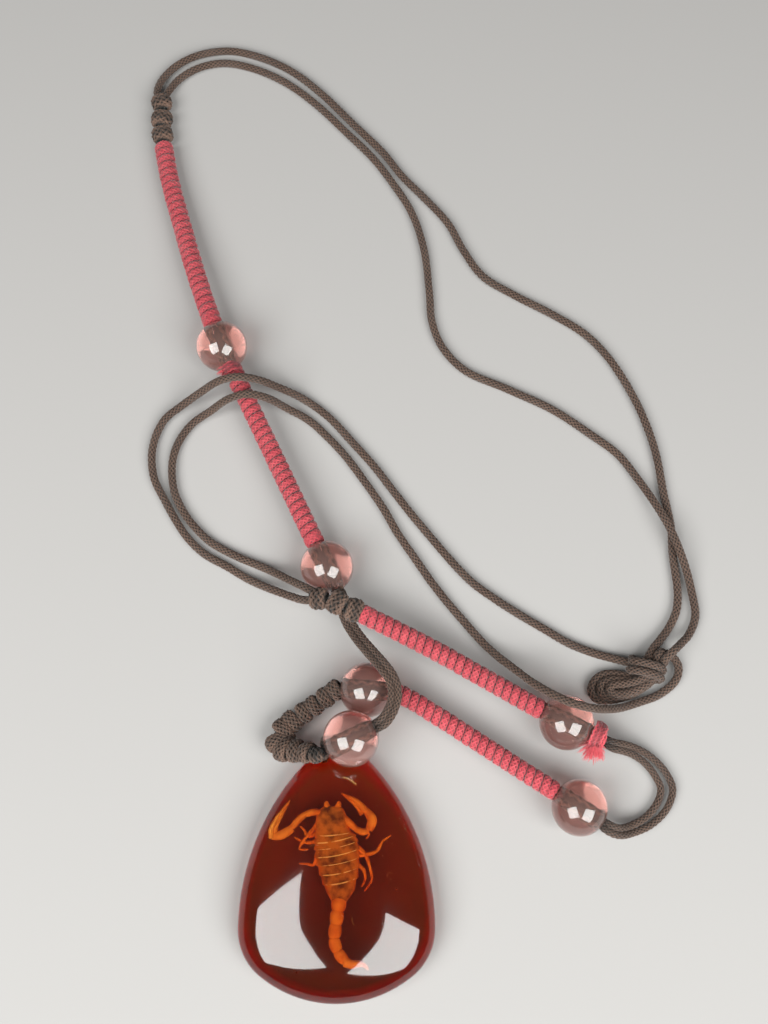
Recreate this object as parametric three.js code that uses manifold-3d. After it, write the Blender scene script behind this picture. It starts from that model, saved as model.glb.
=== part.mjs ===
// A scorpion sealed in a drop of amber resin, worn as a pendant on a knotted cord with beads.
// Millimetres, +Z up. The drop lies on its flat back, its narrow end towards +Y,
// and the origin is the middle of that back.
import * as THREE from "three";
import { mergeVertices } from "three/addons/utils/BufferGeometryUtils.js";
import Module from "manifold-3d";

const wasm = await Module();
wasm.setup();

// The drop
const dropWidth = 34.6;
const dropLength = 44;
const dropHeight = 9;
const widestY = -9.5;
const sideRadius = 41;
const cornerRadius = 10;
const girdleHeight = 3;
const backShare = 0.9;
const crownShare = 0.08;
const domePower = 2.4;
const domeCentre = new THREE.Vector2(0, -4);
const outlineSides = 40;
const domeRings = 4;
const backRings = 3;
const splitHeight = 5;
const joint = 0.3;

// The cord and what is threaded on it
const cordDiameter = 1.7;
const cordSides = 8;
const strandStep = 3;
const coreStep = 2;
const pairSpacing = 2.1;
const coreDiameter = 2.2;
const beadDiameter = 10;
const boreDiameter = 2.8;
const beadSegments = 12;
const wrapDiameter = 3.6;
const wrapStep = 6;
const knotPitch = 3.6;
const mouth = beadDiameter / 2 + joint;
const redKnotLength = 2.8;
const redKnotBulge = 0.9;
const redKnotSteps = 4;

const Y = new THREE.Vector3(0, 1, 0);
const Z = new THREE.Vector3(0, 0, 1);

// Joining and cutting closed meshes
function solid(geometry) {
  const bare = geometry.clone();
  bare.deleteAttribute("normal");
  bare.deleteAttribute("uv");
  const merged = mergeVertices(bare, 1e-4);
  return new wasm.Manifold(
    new wasm.Mesh({
      numProp: 3,
      vertProperties: new Float32Array(merged.attributes.position.array),
      triVerts: new Uint32Array(merged.index.array),
    }),
  );
}

function geometryOf(manifold) {
  const mesh = manifold.getMesh();
  const geometry = new THREE.BufferGeometry();
  geometry.setAttribute("position", new THREE.Float32BufferAttribute(mesh.vertProperties, 3));
  geometry.setIndex([...mesh.triVerts]);
  geometry.computeVertexNormals();
  return geometry;
}

// The largest body of a cut, without the crumbs between the pocket's limbs
const larger = (one, other) => (one.volume() > other.volume() ? one : other);
const mainBody = (manifold) => manifold.decompose().reduce(larger);

const join = (geometries) => geometries.map(solid).reduce((whole, piece) => whole.add(piece));

// A closed body through rings of points. A looped one joins its last ring to its first.
function loft(rings, looped = false) {
  const sides = rings[0].length;
  const points = rings.flat();
  const index = [];
  const spans = looped ? rings.length : rings.length - 1;
  for (let r = 0; r < spans; r += 1) {
    const here = r * sides;
    const there = ((r + 1) % rings.length) * sides;
    for (let k = 0; k < sides; k += 1) {
      const next = (k + 1) % sides;
      index.push(here + k, here + next, there + next);
      index.push(here + k, there + next, there + k);
    }
  }
  const cap = (start, flip) => {
    const middle = points.length;
    const centre = new THREE.Vector3();
    for (let k = 0; k < sides; k += 1) {
      const next = (k + 1) % sides;
      centre.addScaledVector(points[start + k], 1 / sides);
      index.push(middle, start + (flip ? next : k), start + (flip ? k : next));
    }
    points.push(centre);
  };
  if (!looped) {
    cap(0, true);
    cap((rings.length - 1) * sides, false);
  }
  const geometry = new THREE.BufferGeometry().setFromPoints(points);
  geometry.setIndex(index);
  geometry.computeVertexNormals();
  return geometry;
}

const vector = ([x, y, z]) => new THREE.Vector3(x, y, z);
const route = (points) => new THREE.CatmullRomCurve3(points.map(vector));

// One ring across a curve at u, as wide and as high as the given radii
function ringAt(curve, u, wide, high, sides) {
  const centre = curve.getPointAt(u);
  const tangent = curve.getTangentAt(u);
  const side = tangent.clone().cross(Z).normalize();
  const up = side.clone().cross(tangent).normalize();
  return Array.from({ length: sides }, (_, k) => {
    const angle = (2 * Math.PI * k) / sides;
    return centre
      .clone()
      .addScaledVector(up, high * Math.cos(angle))
      .addScaledVector(side, wide * Math.sin(angle));
  });
}

// A body along a curve, both ends carried on straight by the given length
function sweep(curve, wideAt, highAt, sides, steps, beyond = 0) {
  const rings = [];
  for (let i = 0; i <= steps; i += 1) {
    const u = i / steps;
    rings.push(ringAt(curve, u, wideAt(u), highAt(u), sides));
  }
  if (beyond > 0) {
    const moved = (ring, u, length) =>
      ring.map((point) => point.clone().addScaledVector(curve.getTangentAt(u), length));
    rings.unshift(moved(rings[0], 0, -beyond));
    rings.push(moved(rings.at(-1), 1, beyond));
  }
  return loft(rings);
}

// A plain round tube along a curve
function tube(curve, diameter, stepDiameters) {
  const section = new THREE.Shape(
    Array.from({ length: cordSides }, (_, k) => {
      const angle = (2 * Math.PI * k) / cordSides;
      return new THREE.Vector2(Math.cos(angle), Math.sin(angle)).multiplyScalar(diameter / 2);
    }),
  );
  const steps = Math.max(3, Math.round(curve.getLength() / (stepDiameters * diameter)));
  return new THREE.ExtrudeGeometry(section, { extrudePath: curve, steps, bevelEnabled: false });
}

// The drop's outline is six arcs, each tangent to the next.
function dropOutline() {
  const half = dropLength / 2;
  const cornerX = dropWidth / 2 - cornerRadius;
  const sideX = dropWidth / 2 - sideRadius;
  const toTip = half - widestY;
  const toFoot = half + widestY;
  const tipRadius = (sideRadius ** 2 - sideX ** 2 - toTip ** 2) / (2 * (sideRadius - toTip));
  const footRadius = (cornerX ** 2 + toFoot ** 2 - cornerRadius ** 2) / (2 * (toFoot - cornerRadius));
  const tipAngle = Math.atan2(half - tipRadius - widestY, -sideX);
  const footAngle = Math.atan2(widestY - (footRadius - half), cornerX);
  const path = new THREE.Path();
  path.absarc(0, footRadius - half, footRadius, -Math.PI / 2, footAngle);
  path.absarc(cornerX, widestY, cornerRadius, footAngle, 0);
  path.absarc(sideX, widestY, sideRadius, 0, tipAngle);
  path.absarc(0, half - tipRadius, tipRadius, tipAngle, Math.PI - tipAngle);
  path.absarc(-sideX, widestY, sideRadius, Math.PI - tipAngle, Math.PI);
  path.absarc(-cornerX, widestY, cornerRadius, Math.PI, Math.PI - footAngle);
  path.absarc(0, footRadius - half, footRadius, -Math.PI - footAngle, -Math.PI / 2);
  return path.getSpacedPoints(outlineSides).slice(0, outlineSides);
}

function dropBody() {
  const outline = dropOutline();
  const ring = (share, z) =>
    outline.map((p) => {
      const at = p.clone().sub(domeCentre).multiplyScalar(share).add(domeCentre);
      return new THREE.Vector3(at.x, at.y, z);
    });
  const rings = [];
  for (let i = 0; i <= backRings; i += 1) {
    const angle = (i / backRings) * (Math.PI / 2);
    rings.push(ring(backShare + (1 - backShare) * Math.sin(angle), girdleHeight * (1 - Math.cos(angle))));
  }
  for (let i = 1; i <= domeRings; i += 1) {
    const share = Math.cos((i / (domeRings + 1)) * (Math.PI / 2));
    const rise = Math.sqrt(1 - share ** domePower);
    rings.push(ring(share, girdleHeight + (dropHeight - girdleHeight) * rise));
  }
  rings.push(ring(crownShare, dropHeight));
  return loft(rings);
}

// The scorpion lies back up with its head towards the narrow end.
// Each body ring is y, middle x, half width and half height.
const bodyRings = [
  [-4.6, 0.8, 1.3, 0.7],
  [-3.2, 1.1, 2.4, 1.0],
  [-0.2, 0.8, 3.1, 1.2],
  [3.4, 0.3, 3.8, 1.4],
  [6.0, -0.2, 3.2, 1.3],
  [6.6, -0.4, 2.9, 1.1],
  [9.6, -0.8, 2.7, 1.1],
  [11.1, -0.9, 1.7, 0.6],
];
const tailRoute = [
  [0.7, -4.0, 0],
  [0.2, -8.0, 0.2],
  [-0.3, -11.4, 0.2],
  [1.0, -14.2, 0.1],
  [3.2, -15.0, 0],
  [5.6, -14.4, -0.2],
];
const armRoutes = [
  [[-2.6, 9.6, -0.2], [-5.4, 9.0, 0.4], [-8.2, 7.2, 0.4], [-11.0, 5.6, 0.2]],
  [[1.0, 9.2, -0.2], [2.8, 7.8, 0.4], [4.4, 6.8, 0.4], [6.0, 7.6, 0.2]],
];
const handRoutes = [
  [[-11.2, 5.4, 0.2], [-11.2, 7.6, 0.2], [-10.0, 9.8, 0.1], [-8.2, 12.0, 0]],
  [[6.2, 7.4, 0.2], [5.6, 9.4, 0.2], [3.8, 11.2, 0.1], [1.4, 12.8, 0]],
];
const legRoutes = [
  [[-2.0, 8.4, -0.4], [-4.4, 7.6, 0.5], [-5.8, 6.4, 0.2], [-5.2, 5.0, -0.6]],
  [[-2.2, 7.2, -0.4], [-4.4, 4.8, 0.5], [-6.4, 3.6, 0.2], [-7.2, 5.4, -0.6]],
  [[-2.4, 5.8, -0.4], [-4.8, 3.2, 0.5], [-6.2, 1.4, 0.2], [-4.8, 0.2, -0.6]],
  [[-2.2, 4.4, -0.4], [-4.2, 1.6, 0.4], [-4.2, -1.0, 0.1], [-3.0, -2.8, -0.6]],
  [[0.6, 8.0, -0.4], [2.8, 6.2, 0.5], [4.8, 5.6, 0.2], [6.2, 4.8, -0.6]],
  [[1.2, 6.4, -0.4], [4.6, 3.4, 0.5], [7.0, 3.4, 0.2], [9.0, 6.0, -0.6]],
  [[1.8, 5.2, -0.4], [5.2, 2.0, 0.5], [6.8, 0.4, 0.2], [8.4, 0.2, -0.6]],
  [[2.2, 4.0, -0.4], [4.9, 0.8, 0.4], [6.0, -1.6, 0.1], [4.8, -3.2, -0.6]],
];
const tailJoints = 6;
const tailRadius = { neck: 0.55, lump: 0.44, taper: 0.2 };
const handRadius = { tip: 0.25, palm: 0.85 };
const armRadii = [0.6, 0.75];
const legRadii = [0.5, 0.25];
const bodySides = 10;
const limbSides = 5;
const limbSteps = 3;

// The scorpion itself, or with a growth above nothing the pocket that holds it
function scorpionBody(grow) {
  const raised = (points) => route(points.map(([x, y, z]) => [x, y, z + splitHeight]));
  const rings = bodyRings.map(([y, x, wide, high], i) => {
    const end = i === 0 ? -grow : i === bodyRings.length - 1 ? grow : 0;
    return Array.from({ length: bodySides }, (_, k) => {
      const angle = (2 * Math.PI * k) / bodySides;
      const along = splitHeight + (high + grow) * Math.cos(angle);
      return new THREE.Vector3(x + (wide + grow) * Math.sin(angle), y + end, along);
    });
  });
  const limb = (points, [near, far]) => {
    const radiusAt = (u) => grow + near + (far - near) * u;
    return sweep(raised(points), radiusAt, radiusAt, limbSides, limbSteps, grow);
  };
  const tailAt = (u) => {
    const lump = Math.abs(Math.sin(Math.PI * tailJoints * u));
    return grow + tailRadius.neck + lump * (tailRadius.lump - tailRadius.taper * u);
  };
  const handAt = (u) => {
    const palm = Math.sin(Math.PI * Math.min(1, 0.15 + u)) ** 2;
    return grow + handRadius.tip + handRadius.palm * palm;
  };
  return join([
    loft(rings),
    sweep(raised(tailRoute), tailAt, tailAt, limbSides, 2 * tailJoints, grow),
    ...armRoutes.map((points) => limb(points, armRadii)),
    ...handRoutes.map((points) => sweep(raised(points), handAt, handAt, limbSides, 2 * limbSteps, grow)),
    ...legRoutes.map((points) => limb(points, legRadii)),
  ]);
}

// Routes of the free cord, chosen point by point where it lies
const topStrand = [
  [-39.9, 158.6, 1.4], [-39, 162, 0.9], [-36, 165.5, 0.9], [-31.5, 168, 0.9], [-25, 169, 0.9],
  [-18.5, 167.5, 0.9], [-11.5, 164, 0.9], [-5, 158.5, 0.9], [1.5, 151.5, 0.9], [8, 144.5, 0.9],
  [12, 139, 0.9], [16.5, 134, 0.9], [21.5, 128, 0.9], [24.5, 122, 0.9], [28.5, 116, 0.9],
  [34.5, 112, 0.9], [42.5, 107.5, 0.9], [48.5, 103.5, 0.9], [53, 98.5, 0.9], [56.5, 92.5, 0.9],
  [59.5, 85.5, 0.9], [61.5, 78, 0.9], [62.5, 70, 0.9], [63.5, 63.5, 0.9], [63.5, 58, 0.9],
  [64, 50.5, 0.9], [63.5, 47, 0.9], [62, 44, 1], [60, 41.4, 1.4], [58.4, 39.6, 2],
];
const inwardStrand = [
  [-37.5, 158.8, 1.4], [-35.5, 162, 0.9], [-31.5, 164.8, 0.9], [-26, 166, 0.9], [-19.5, 164.6, 0.9],
  [-13, 161.4, 0.9], [-6.6, 156.4, 0.9], [0, 149.6, 0.9], [6.4, 142.6, 0.9], [10, 137.4, 0.9],
  [14, 130.5, 0.9], [16.5, 122, 0.9], [17.5, 112.5, 0.9], [18, 106, 0.9], [20, 100.5, 0.9],
  [24.5, 95.5, 0.9], [33, 91.5, 0.9], [42, 87, 0.9], [49, 82, 0.9], [54, 78, 0.95], [57.5, 73, 1.2],
  [60.5, 67.5, 2.4], [62.8, 62.5, 3.1], [65, 56.5, 2.6], [66.5, 51, 1.2], [67, 46, 1],
  [65.5, 42.5, 1.4], [63.4, 40.4, 2.8], [61.8, 39, 4],
];
const outerLoop = [
  [-6, 48, 6.4], [-10.5, 49.8, 3.4], [-17, 52.8, 1.2], [-21.5, 55.5, 0.9], [-26, 58, 0.9],
  [-29.2, 61, 0.9], [-31.5, 64.2, 0.9], [-34, 68.5, 0.9], [-36.5, 73.5, 0.9], [-37, 79.5, 0.9],
  [-35, 85, 1], [-31.5, 87.8, 1.8], [-27.4, 89.8, 4.2], [-23.6, 90.8, 7.4], [-20.2, 91.1, 8.8],
  [-16.6, 91.2, 7.4], [-12.2, 90.8, 3.8], [-7.4, 89.2, 1.3], [-2.5, 85.6, 0.9], [2, 80.6, 0.9],
  [6.5, 75.4, 0.9], [10.5, 70, 0.9], [15.5, 63.5, 0.9], [24.5, 53, 0.9], [29, 49.5, 0.9],
  [34, 46.2, 0.9], [38.5, 43.5, 0.9], [43, 40.8, 0.9], [47.5, 39, 0.9], [51, 38, 1], [53.4, 37.3, 1.5],
];
const innerLoop = [
  [-6.1, 50.2, 7], [-9.6, 52.4, 4], [-14, 55, 1.3], [-20, 57.6, 0.9], [-25, 60.4, 0.9],
  [-28, 63.2, 0.9], [-30.3, 66.2, 0.9], [-32.4, 70.6, 0.9], [-33, 76.5, 0.9], [-32, 80.5, 0.9],
  [-29.5, 84.2, 1], [-25.8, 86.4, 2.4], [-21.6, 87.4, 6.8], [-18, 87.8, 8.3], [-14.4, 87.6, 6.8],
  [-10.6, 86.8, 2.8], [-6.5, 85, 1], [-3, 81.8, 0.9], [0.8, 77.6, 0.9], [5, 71.8, 0.9], [8.2, 67, 0.9],
  [11, 62, 0.9], [15, 56, 0.9], [17, 53, 0.9], [20, 49, 0.9], [23.5, 44.8, 0.9], [27, 40.7, 1.3],
  [29.6, 38, 2.6], [32.2, 35.6, 4.4], [34.8, 33.1, 6.7], [37.3, 31.1, 8.8], [40, 29.5, 10],
  [42.8, 28.4, 10.4], [45.4, 28, 9.1], [48.4, 28.1, 6.1], [51.9, 28.7, 3], [55.4, 29.8, 1.3],
  [59.5, 31.4, 0.9], [62.6, 34, 0.9], [63.2, 36.2, 1.1], [62.4, 37.9, 1.5],
];
const lowerPair = [
  [48.2, 7.3, 4.9], [50.2, 6.7, 3.8], [53, 7.2, 1.8], [56.2, 8.7, 1], [58.7, 11.3, 0.9],
  [59.7, 14.2, 0.9], [58.7, 16.8, 1], [56.6, 19.2, 1.5], [53.8, 20.8, 2.7], [51.4, 21.4, 4.2],
  [49.8, 21.7, 4.9],
];
const upperPair = [
  [8.2, 25.5, 11], [9.4, 27.2, 10.9], [10.1, 29.1, 10.7], [10.2, 31.2, 10.6], [9.6, 33.2, 10.5],
  [8, 35.5, 9.9], [5.9, 38.1, 8.3], [3.7, 41, 6.1], [1.9, 43.9, 4.6], [0.8, 46.6, 4.4],
  [0.2, 49.1, 5.1],
];

// The strands of a pair run side by side, level, each half the spacing from the pair's route.
function besideRoute(points, offset) {
  const curve = route(points);
  return points.map((point, i) => {
    const side = curve.getTangent(i / (points.length - 1)).cross(Z).normalize();
    const at = vector(point).addScaledVector(side, offset);
    return at.toArray();
  });
}

// Tight runs, where the two strands are drawn together through beads and under wraps
const topRun = route([
  [-37.8, 145.4, 2.3], [-36, 137, 2.6], [-32.6, 125.2, 3.2], [-28.4, 111.8, 4.3], [-23.6, 98.9, 5],
  [-18.5, 88.2, 4.6], [-12.8, 76.4, 4.2], [-7, 64.2, 4.6], [-2.4, 54.6, 5], [-0.2, 50, 5],
]);
const lowerRun = route([
  [0.2, 32.2, 5], [5.2, 31.7, 5], [8, 31.42, 5], [10.6, 31.1, 5], [13.6, 29.7, 4.8], [17.4, 27.4, 4.5],
  [25, 22.6, 4.1], [33, 17.4, 4.6], [38.9, 13.6, 5], [43.1, 10.8, 5], [47.3, 8, 5],
]);
const middleRun = route([
  [48.5, 22.2, 5], [41.2, 25.9, 5], [36.6, 28.2, 5], [27, 33.6, 5.2], [16, 39.6, 6.2], [4.9, 44.95, 7.8],
]);
const crossRun = route([[-1.9, 20.5, 8.5], [2.6, 22.65, 9.6], [7.1, 24.8, 10.7]]);

const nearest = (curve, [x, y]) => {
  const steps = 400;
  let best = 0;
  let least = Infinity;
  for (let i = 0; i <= steps; i += 1) {
    const at = curve.getPointAt(i / steps);
    const gap = Math.hypot(at.x - x, at.y - y);
    if (gap < least) {
      least = gap;
      best = (i / steps) * curve.getLength();
    }
  }
  return best;
};

// Each bead with its run and its place on it, in the order of the cord
const beads = {
  bead_bail_upper: { run: lowerRun, at: nearest(lowerRun, [5.2, 31.7]) },
  bead_bail_lower: { run: crossRun, at: crossRun.getLength() / 2 },
  bead_loop_lower: { run: lowerRun, at: nearest(lowerRun, [43.1, 10.8]) },
  bead_loop_upper: { run: middleRun, at: nearest(middleRun, [41.2, 25.9]) },
  bead_side_lower: { run: topRun, at: nearest(topRun, [-2.4, 54.6]) },
  bead_side_upper: { run: topRun, at: nearest(topRun, [-23.6, 98.9]) },
};
const before = (name) => beads[name].at - mouth;
const past = (name) => beads[name].at + mouth;
const sideKnotEnd = past("bead_side_upper") + redKnotLength;
const wraps = {
  wrap_lower: [lowerRun, past("bead_bail_upper"), before("bead_loop_lower")],
  wrap_middle: [middleRun, past("bead_loop_upper"), middleRun.getLength()],
  wrap_side: [topRun, sideKnotEnd + joint, before("bead_side_lower")],
  wrap_top: [topRun, 0, before("bead_side_upper")],
};
const redKnots = {
  red_knot_loop: [middleRun, before("bead_loop_upper") - redKnotLength, before("bead_loop_upper")],
  red_knot_side: [topRun, past("bead_side_upper"), sideKnotEnd],
};

// Snake knots and the knotted bail
const topKnot = route([[-38.1, 146.1, 2.1], [-38.5, 151.6, 2], [-39, 157.4, 1.9]]);
const crossKnot = route([[-5.1, 48.6, 7.6], [-0.3, 47.2, 8.8], [4.3, 45.3, 7.9]]);
const bailRoute = route([
  [-0.9, 31.5, 4.7], [-3, 29.9, 3.7], [-5.5, 28.2, 2.8], [-8.2, 26.6, 2.4], [-10.4, 24.6, 2.4],
  [-11.3, 22.6, 2.7], [-10.3, 21, 3.6], [-8, 20.6, 4.8], [-5.6, 20.4, 6.4], [-4, 20.2, 7.5],
  [-2.8, 20.25, 8.1],
]);
// The bail's cord dips under it through a curved bore in the drop's narrow end.
const hitchRoute = route([
  [-2.4, 20, 5.7], [-2.4, 19.6, 5], [-2.4, 19.2, 4.1], [-2.4, 19.5, 3.2], [-2.4, 20.6, 2.7],
  [-2.4, 21.8, 2.9], [-2.4, 22.6, 3.9], [-2.4, 22.6, 5.2],
]);
const hitchStep = 0.6;
const hitchBore = cordDiameter + 2 * joint;

// Half width and half height of each knotted run
const topKnotHalf = [2.4, 1.8];
const crossKnotHalf = [2.3, 1.8];
const bailHalf = [2.1, 1.9];

function knotted(curve, [wide, high]) {
  const count = Math.round(curve.getLength() / knotPitch);
  const lump = (u) => 0.6 + 0.4 * Math.abs(Math.sin(Math.PI * count * u));
  return sweep(curve, (u) => wide * lump(u), (u) => high * lump(u), cordSides, 2 * count);
}

// A sleeve round a run from one length along it to another
function sleeve(run, from, to, outerAt, steps) {
  const length = run.getLength();
  const outer = [];
  const inner = [];
  for (let i = 0; i <= steps; i += 1) {
    const u = (from + ((to - from) * i) / steps) / length;
    const radius = outerAt(i / steps);
    outer.push(ringAt(run, Math.min(u, 1), radius, radius, cordSides));
    inner.unshift(ringAt(run, Math.min(u, 1), boreDiameter / 2, boreDiameter / 2, cordSides));
  }
  return loft([...outer, ...inner], true);
}

function bead() {
  const radius = beadDiameter / 2;
  const bore = boreDiameter / 2;
  const start = Math.acos(bore / radius);
  const arcPoints = 7;
  const profile = Array.from({ length: arcPoints }, (_, i) => {
    const angle = -start + (2 * start * i) / (arcPoints - 1);
    return new THREE.Vector2(radius * Math.cos(angle), radius * Math.sin(angle));
  });
  return new THREE.LatheGeometry([...profile, profile[0].clone()], beadSegments);
}

// The adjusting knot with its folded bight
const knotCentre = [57.6, 35.6, 2.8];
const knotSize = [3, 3.2, 2.6];
const bights = [
  [
    [56, 34.9, 2], [50, 34.8, 1.2], [47.3, 34.1, 1], [46.5, 32.8, 0.9], [47.3, 31.5, 1], [50, 30.8, 1.2],
    [56, 32.4, 2],
  ],
  [[56, 34, 2.6], [50.4, 33.7, 1.4], [49.2, 32.8, 1.2], [50.4, 32, 1.4], [56, 33, 2.6]],
];

function adjustingKnot() {
  const lump = new THREE.SphereGeometry(1, 10, 6);
  lump.scale(...knotSize);
  lump.translate(...knotCentre);
  return join([lump, ...bights.map((points) => tube(route(points), cordDiameter, strandStep))]);
}

// Assembly
const amberColour = 0x5a1c0c;
const scorpionColour = 0xc8740f;
const cordColour = 0x4b3c2d;
const redColour = 0xe05055;
const beadColour = 0x9a6a5c;
const glossRoughness = 0.05;
const shellRoughness = 0.4;
const clothRoughness = 0.8;
const necklace = new THREE.Group();

function add(name, geometry, color, roughness) {
  const material = new THREE.MeshStandardMaterial({ color, roughness, metalness: 0 });
  const mesh = new THREE.Mesh(geometry, material);
  mesh.name = name;
  necklace.add(mesh);
  return mesh;
}

const slab = (low, high) => {
  const box = new THREE.BoxGeometry(2 * dropWidth, 2 * dropLength, high - low);
  box.translate(0, 0, (low + high) / 2);
  return solid(box);
};
const drop = solid(dropBody())
  .subtract(scorpionBody(joint))
  .subtract(solid(tube(hitchRoute, hitchBore, (hitchStep * cordDiameter) / hitchBore)));
const farAway = 2 * dropHeight;
const halves = {
  amber_front: slab(splitHeight + joint / 2, farAway),
  amber_back: slab(-farAway, splitHeight - joint / 2),
};
for (const [name, side] of Object.entries(halves)) {
  add(name, geometryOf(mainBody(drop.intersect(side))), amberColour, glossRoughness);
}
add("scorpion", geometryOf(scorpionBody(0)), scorpionColour, shellRoughness);

for (const [name, { run, at }] of Object.entries(beads)) {
  const mesh = add(name, bead(), beadColour, glossRoughness);
  const u = at / run.getLength();
  mesh.position.copy(run.getPointAt(u));
  mesh.quaternion.setFromUnitVectors(Y, run.getTangentAt(u));
}
for (const [name, [run, from, to]] of Object.entries(wraps)) {
  const steps = Math.round((to - from) / wrapStep);
  add(name, sleeve(run, from, to, () => wrapDiameter / 2, steps), redColour, clothRoughness);
}
for (const [name, [run, from, to]] of Object.entries(redKnots)) {
  const bulge = (u) => wrapDiameter / 2 + redKnotBulge * Math.sin(Math.PI * u);
  add(name, sleeve(run, from, to, bulge, redKnotSteps), redColour, clothRoughness);
}
const cores = { core_top: topRun, core_lower: lowerRun, core_middle: middleRun, core_cross: crossRun };
for (const [name, run] of Object.entries(cores)) {
  add(name, tube(run, coreDiameter, coreStep), cordColour, clothRoughness);
}
const strands = {
  strand_top_outer: topStrand,
  strand_top_inner: inwardStrand,
  strand_loop_outer: outerLoop,
  strand_loop_inner: innerLoop,
  strand_lower_outer: besideRoute(lowerPair, pairSpacing / 2),
  strand_lower_inner: besideRoute(lowerPair, -pairSpacing / 2),
  strand_upper_right: besideRoute(upperPair, pairSpacing / 2),
  strand_upper_left: besideRoute(upperPair, -pairSpacing / 2),
};
for (const [name, points] of Object.entries(strands)) {
  add(name, tube(route(points), cordDiameter, strandStep), cordColour, clothRoughness);
}
add("snake_knot_top", knotted(topKnot, topKnotHalf), cordColour, clothRoughness);
add("snake_knot_cross", knotted(crossKnot, crossKnotHalf), cordColour, clothRoughness);
add("bail", knotted(bailRoute, bailHalf), cordColour, clothRoughness);
add("hitch", tube(hitchRoute, cordDiameter, hitchStep), cordColour, clothRoughness);
add("adjusting_knot", geometryOf(adjustingKnot()), cordColour, clothRoughness);

export default necklace;
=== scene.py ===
# Scorpion sealed in an amber drop, on a knotted cord with beads. Metres, +Z up, in the frame of the solids.
import math
import random

import bmesh
import bpy
import numpy as np
from mathutils import Matrix, Vector
from mathutils.kdtree import KDTree


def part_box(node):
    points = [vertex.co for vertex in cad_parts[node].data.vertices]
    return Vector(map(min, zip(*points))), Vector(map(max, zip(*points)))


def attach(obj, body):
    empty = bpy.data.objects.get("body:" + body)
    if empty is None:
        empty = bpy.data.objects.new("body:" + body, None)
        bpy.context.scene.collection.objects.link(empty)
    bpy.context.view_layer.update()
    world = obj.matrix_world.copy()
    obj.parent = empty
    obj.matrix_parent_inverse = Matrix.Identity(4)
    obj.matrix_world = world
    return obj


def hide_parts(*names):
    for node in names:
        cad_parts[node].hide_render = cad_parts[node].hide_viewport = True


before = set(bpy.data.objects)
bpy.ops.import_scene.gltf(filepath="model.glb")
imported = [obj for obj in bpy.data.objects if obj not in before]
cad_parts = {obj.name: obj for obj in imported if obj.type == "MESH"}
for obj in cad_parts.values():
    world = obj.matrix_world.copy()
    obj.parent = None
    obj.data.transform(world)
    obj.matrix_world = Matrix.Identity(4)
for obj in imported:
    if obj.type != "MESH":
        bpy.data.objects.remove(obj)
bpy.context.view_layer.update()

mm = 0.001
scene = bpy.context.scene
scene.view_settings.view_transform = "Standard"
chance = random.Random(11)


# Camera, where the photograph was taken from
viewFrom = {"place": (8.3, 6.4, 224.7), "target": (8.3, 66.6, 0), "nearest": 5, "lens": 42.19, "sensor": 36}


def turnedTo(place, target):
    return (Vector(target) - Vector(place)).to_track_quat("-Z", "Y").to_matrix().to_4x4()


def makeCamera():
    lens = bpy.data.cameras.new("camera")
    lens.lens = viewFrom["lens"]
    lens.sensor_width = viewFrom["sensor"]
    lens.clip_start = viewFrom["nearest"] * mm
    camera = bpy.data.objects.new("camera", lens)
    place = Vector(viewFrom["place"]) * mm
    camera.matrix_world = Matrix.Translation(place) @ turnedTo(place, Vector(viewFrom["target"]) * mm)
    scene.collection.objects.link(camera)
    scene.camera = camera


# Shader maths
class Wire:
    # a node's output that can be added, multiplied and so on
    def __init__(self, paint, socket):
        self.paint = paint
        self.socket = socket

    def maths(self, operation, first, second):
        return self.paint.node("ShaderNodeMath", {"operation": operation}, {0: first, 1: second})

    def __radd__(self, other):
        return self.maths("ADD", other, self)

    def __rsub__(self, other):
        return self.maths("SUBTRACT", other, self)

    def __mul__(self, other):
        return self.maths("MULTIPLY", self, other)

    def __rmul__(self, other):
        return self.maths("MULTIPLY", other, self)

    def __pow__(self, other):
        return self.maths("POWER", self, other)


class Paint:
    # one material and its nodes
    def __init__(self, name):
        self.material = bpy.data.materials.new(name)
        self.material.use_nodes = True
        self.tree = self.material.node_tree
        self.tree.nodes.clear()

    def node(self, kind, settings=None, values=None, out=0):
        made = self.tree.nodes.new(kind)
        for key, value in (settings or {}).items():
            setattr(made, key, value)
        for key, value in (values or {}).items():
            if isinstance(value, Wire):
                self.tree.links.new(value.socket, made.inputs[key])
            else:
                made.inputs[key].default_value = value
        return Wire(self, made.outputs[out]) if made.outputs else made

    def place(self):
        return self.node("ShaderNodeTexCoord", out="Object")

    def noise(self, scale, detail=2.0):
        values = {"Vector": self.place(), "Scale": scale, "Detail": detail}
        return self.node("ShaderNodeTexNoise", None, values)

    def attribute(self, name):
        return self.node("ShaderNodeAttribute", {"attribute_name": name}, out="Fac")

    def mix(self, share, first, second):
        values = {"Factor": share, 6: first, 7: second}
        return self.node("ShaderNodeMix", {"data_type": "RGBA", "clamp_factor": True}, values, out=2)

    def ramp(self, value, low, high):
        # 0 up to the low value and 1 from the high one
        return self.node("ShaderNodeMapRange", None, {"Value": value, "From Min": low, "From Max": high})

    def bump(self, height, strength, distance):
        values = {"Height": height, "Strength": strength, "Distance": distance}
        return self.node("ShaderNodeBump", None, values)

    def soak(self, look):
        # what the depth of a clear piece takes out of the light
        values = {"Color": look["depth"], "Density": look["density"]}
        return self.node("ShaderNodeVolumeAbsorption", None, values)

    def finish(self, volume=None, **values):
        named = {key.replace("_", " "): value for key, value in values.items()}
        shader = self.node("ShaderNodeBsdfPrincipled", None, named)
        links = {"Surface": shader}
        if volume:
            links["Volume"] = volume
        self.node("ShaderNodeOutputMaterial", None, links)
        return self.material


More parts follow.
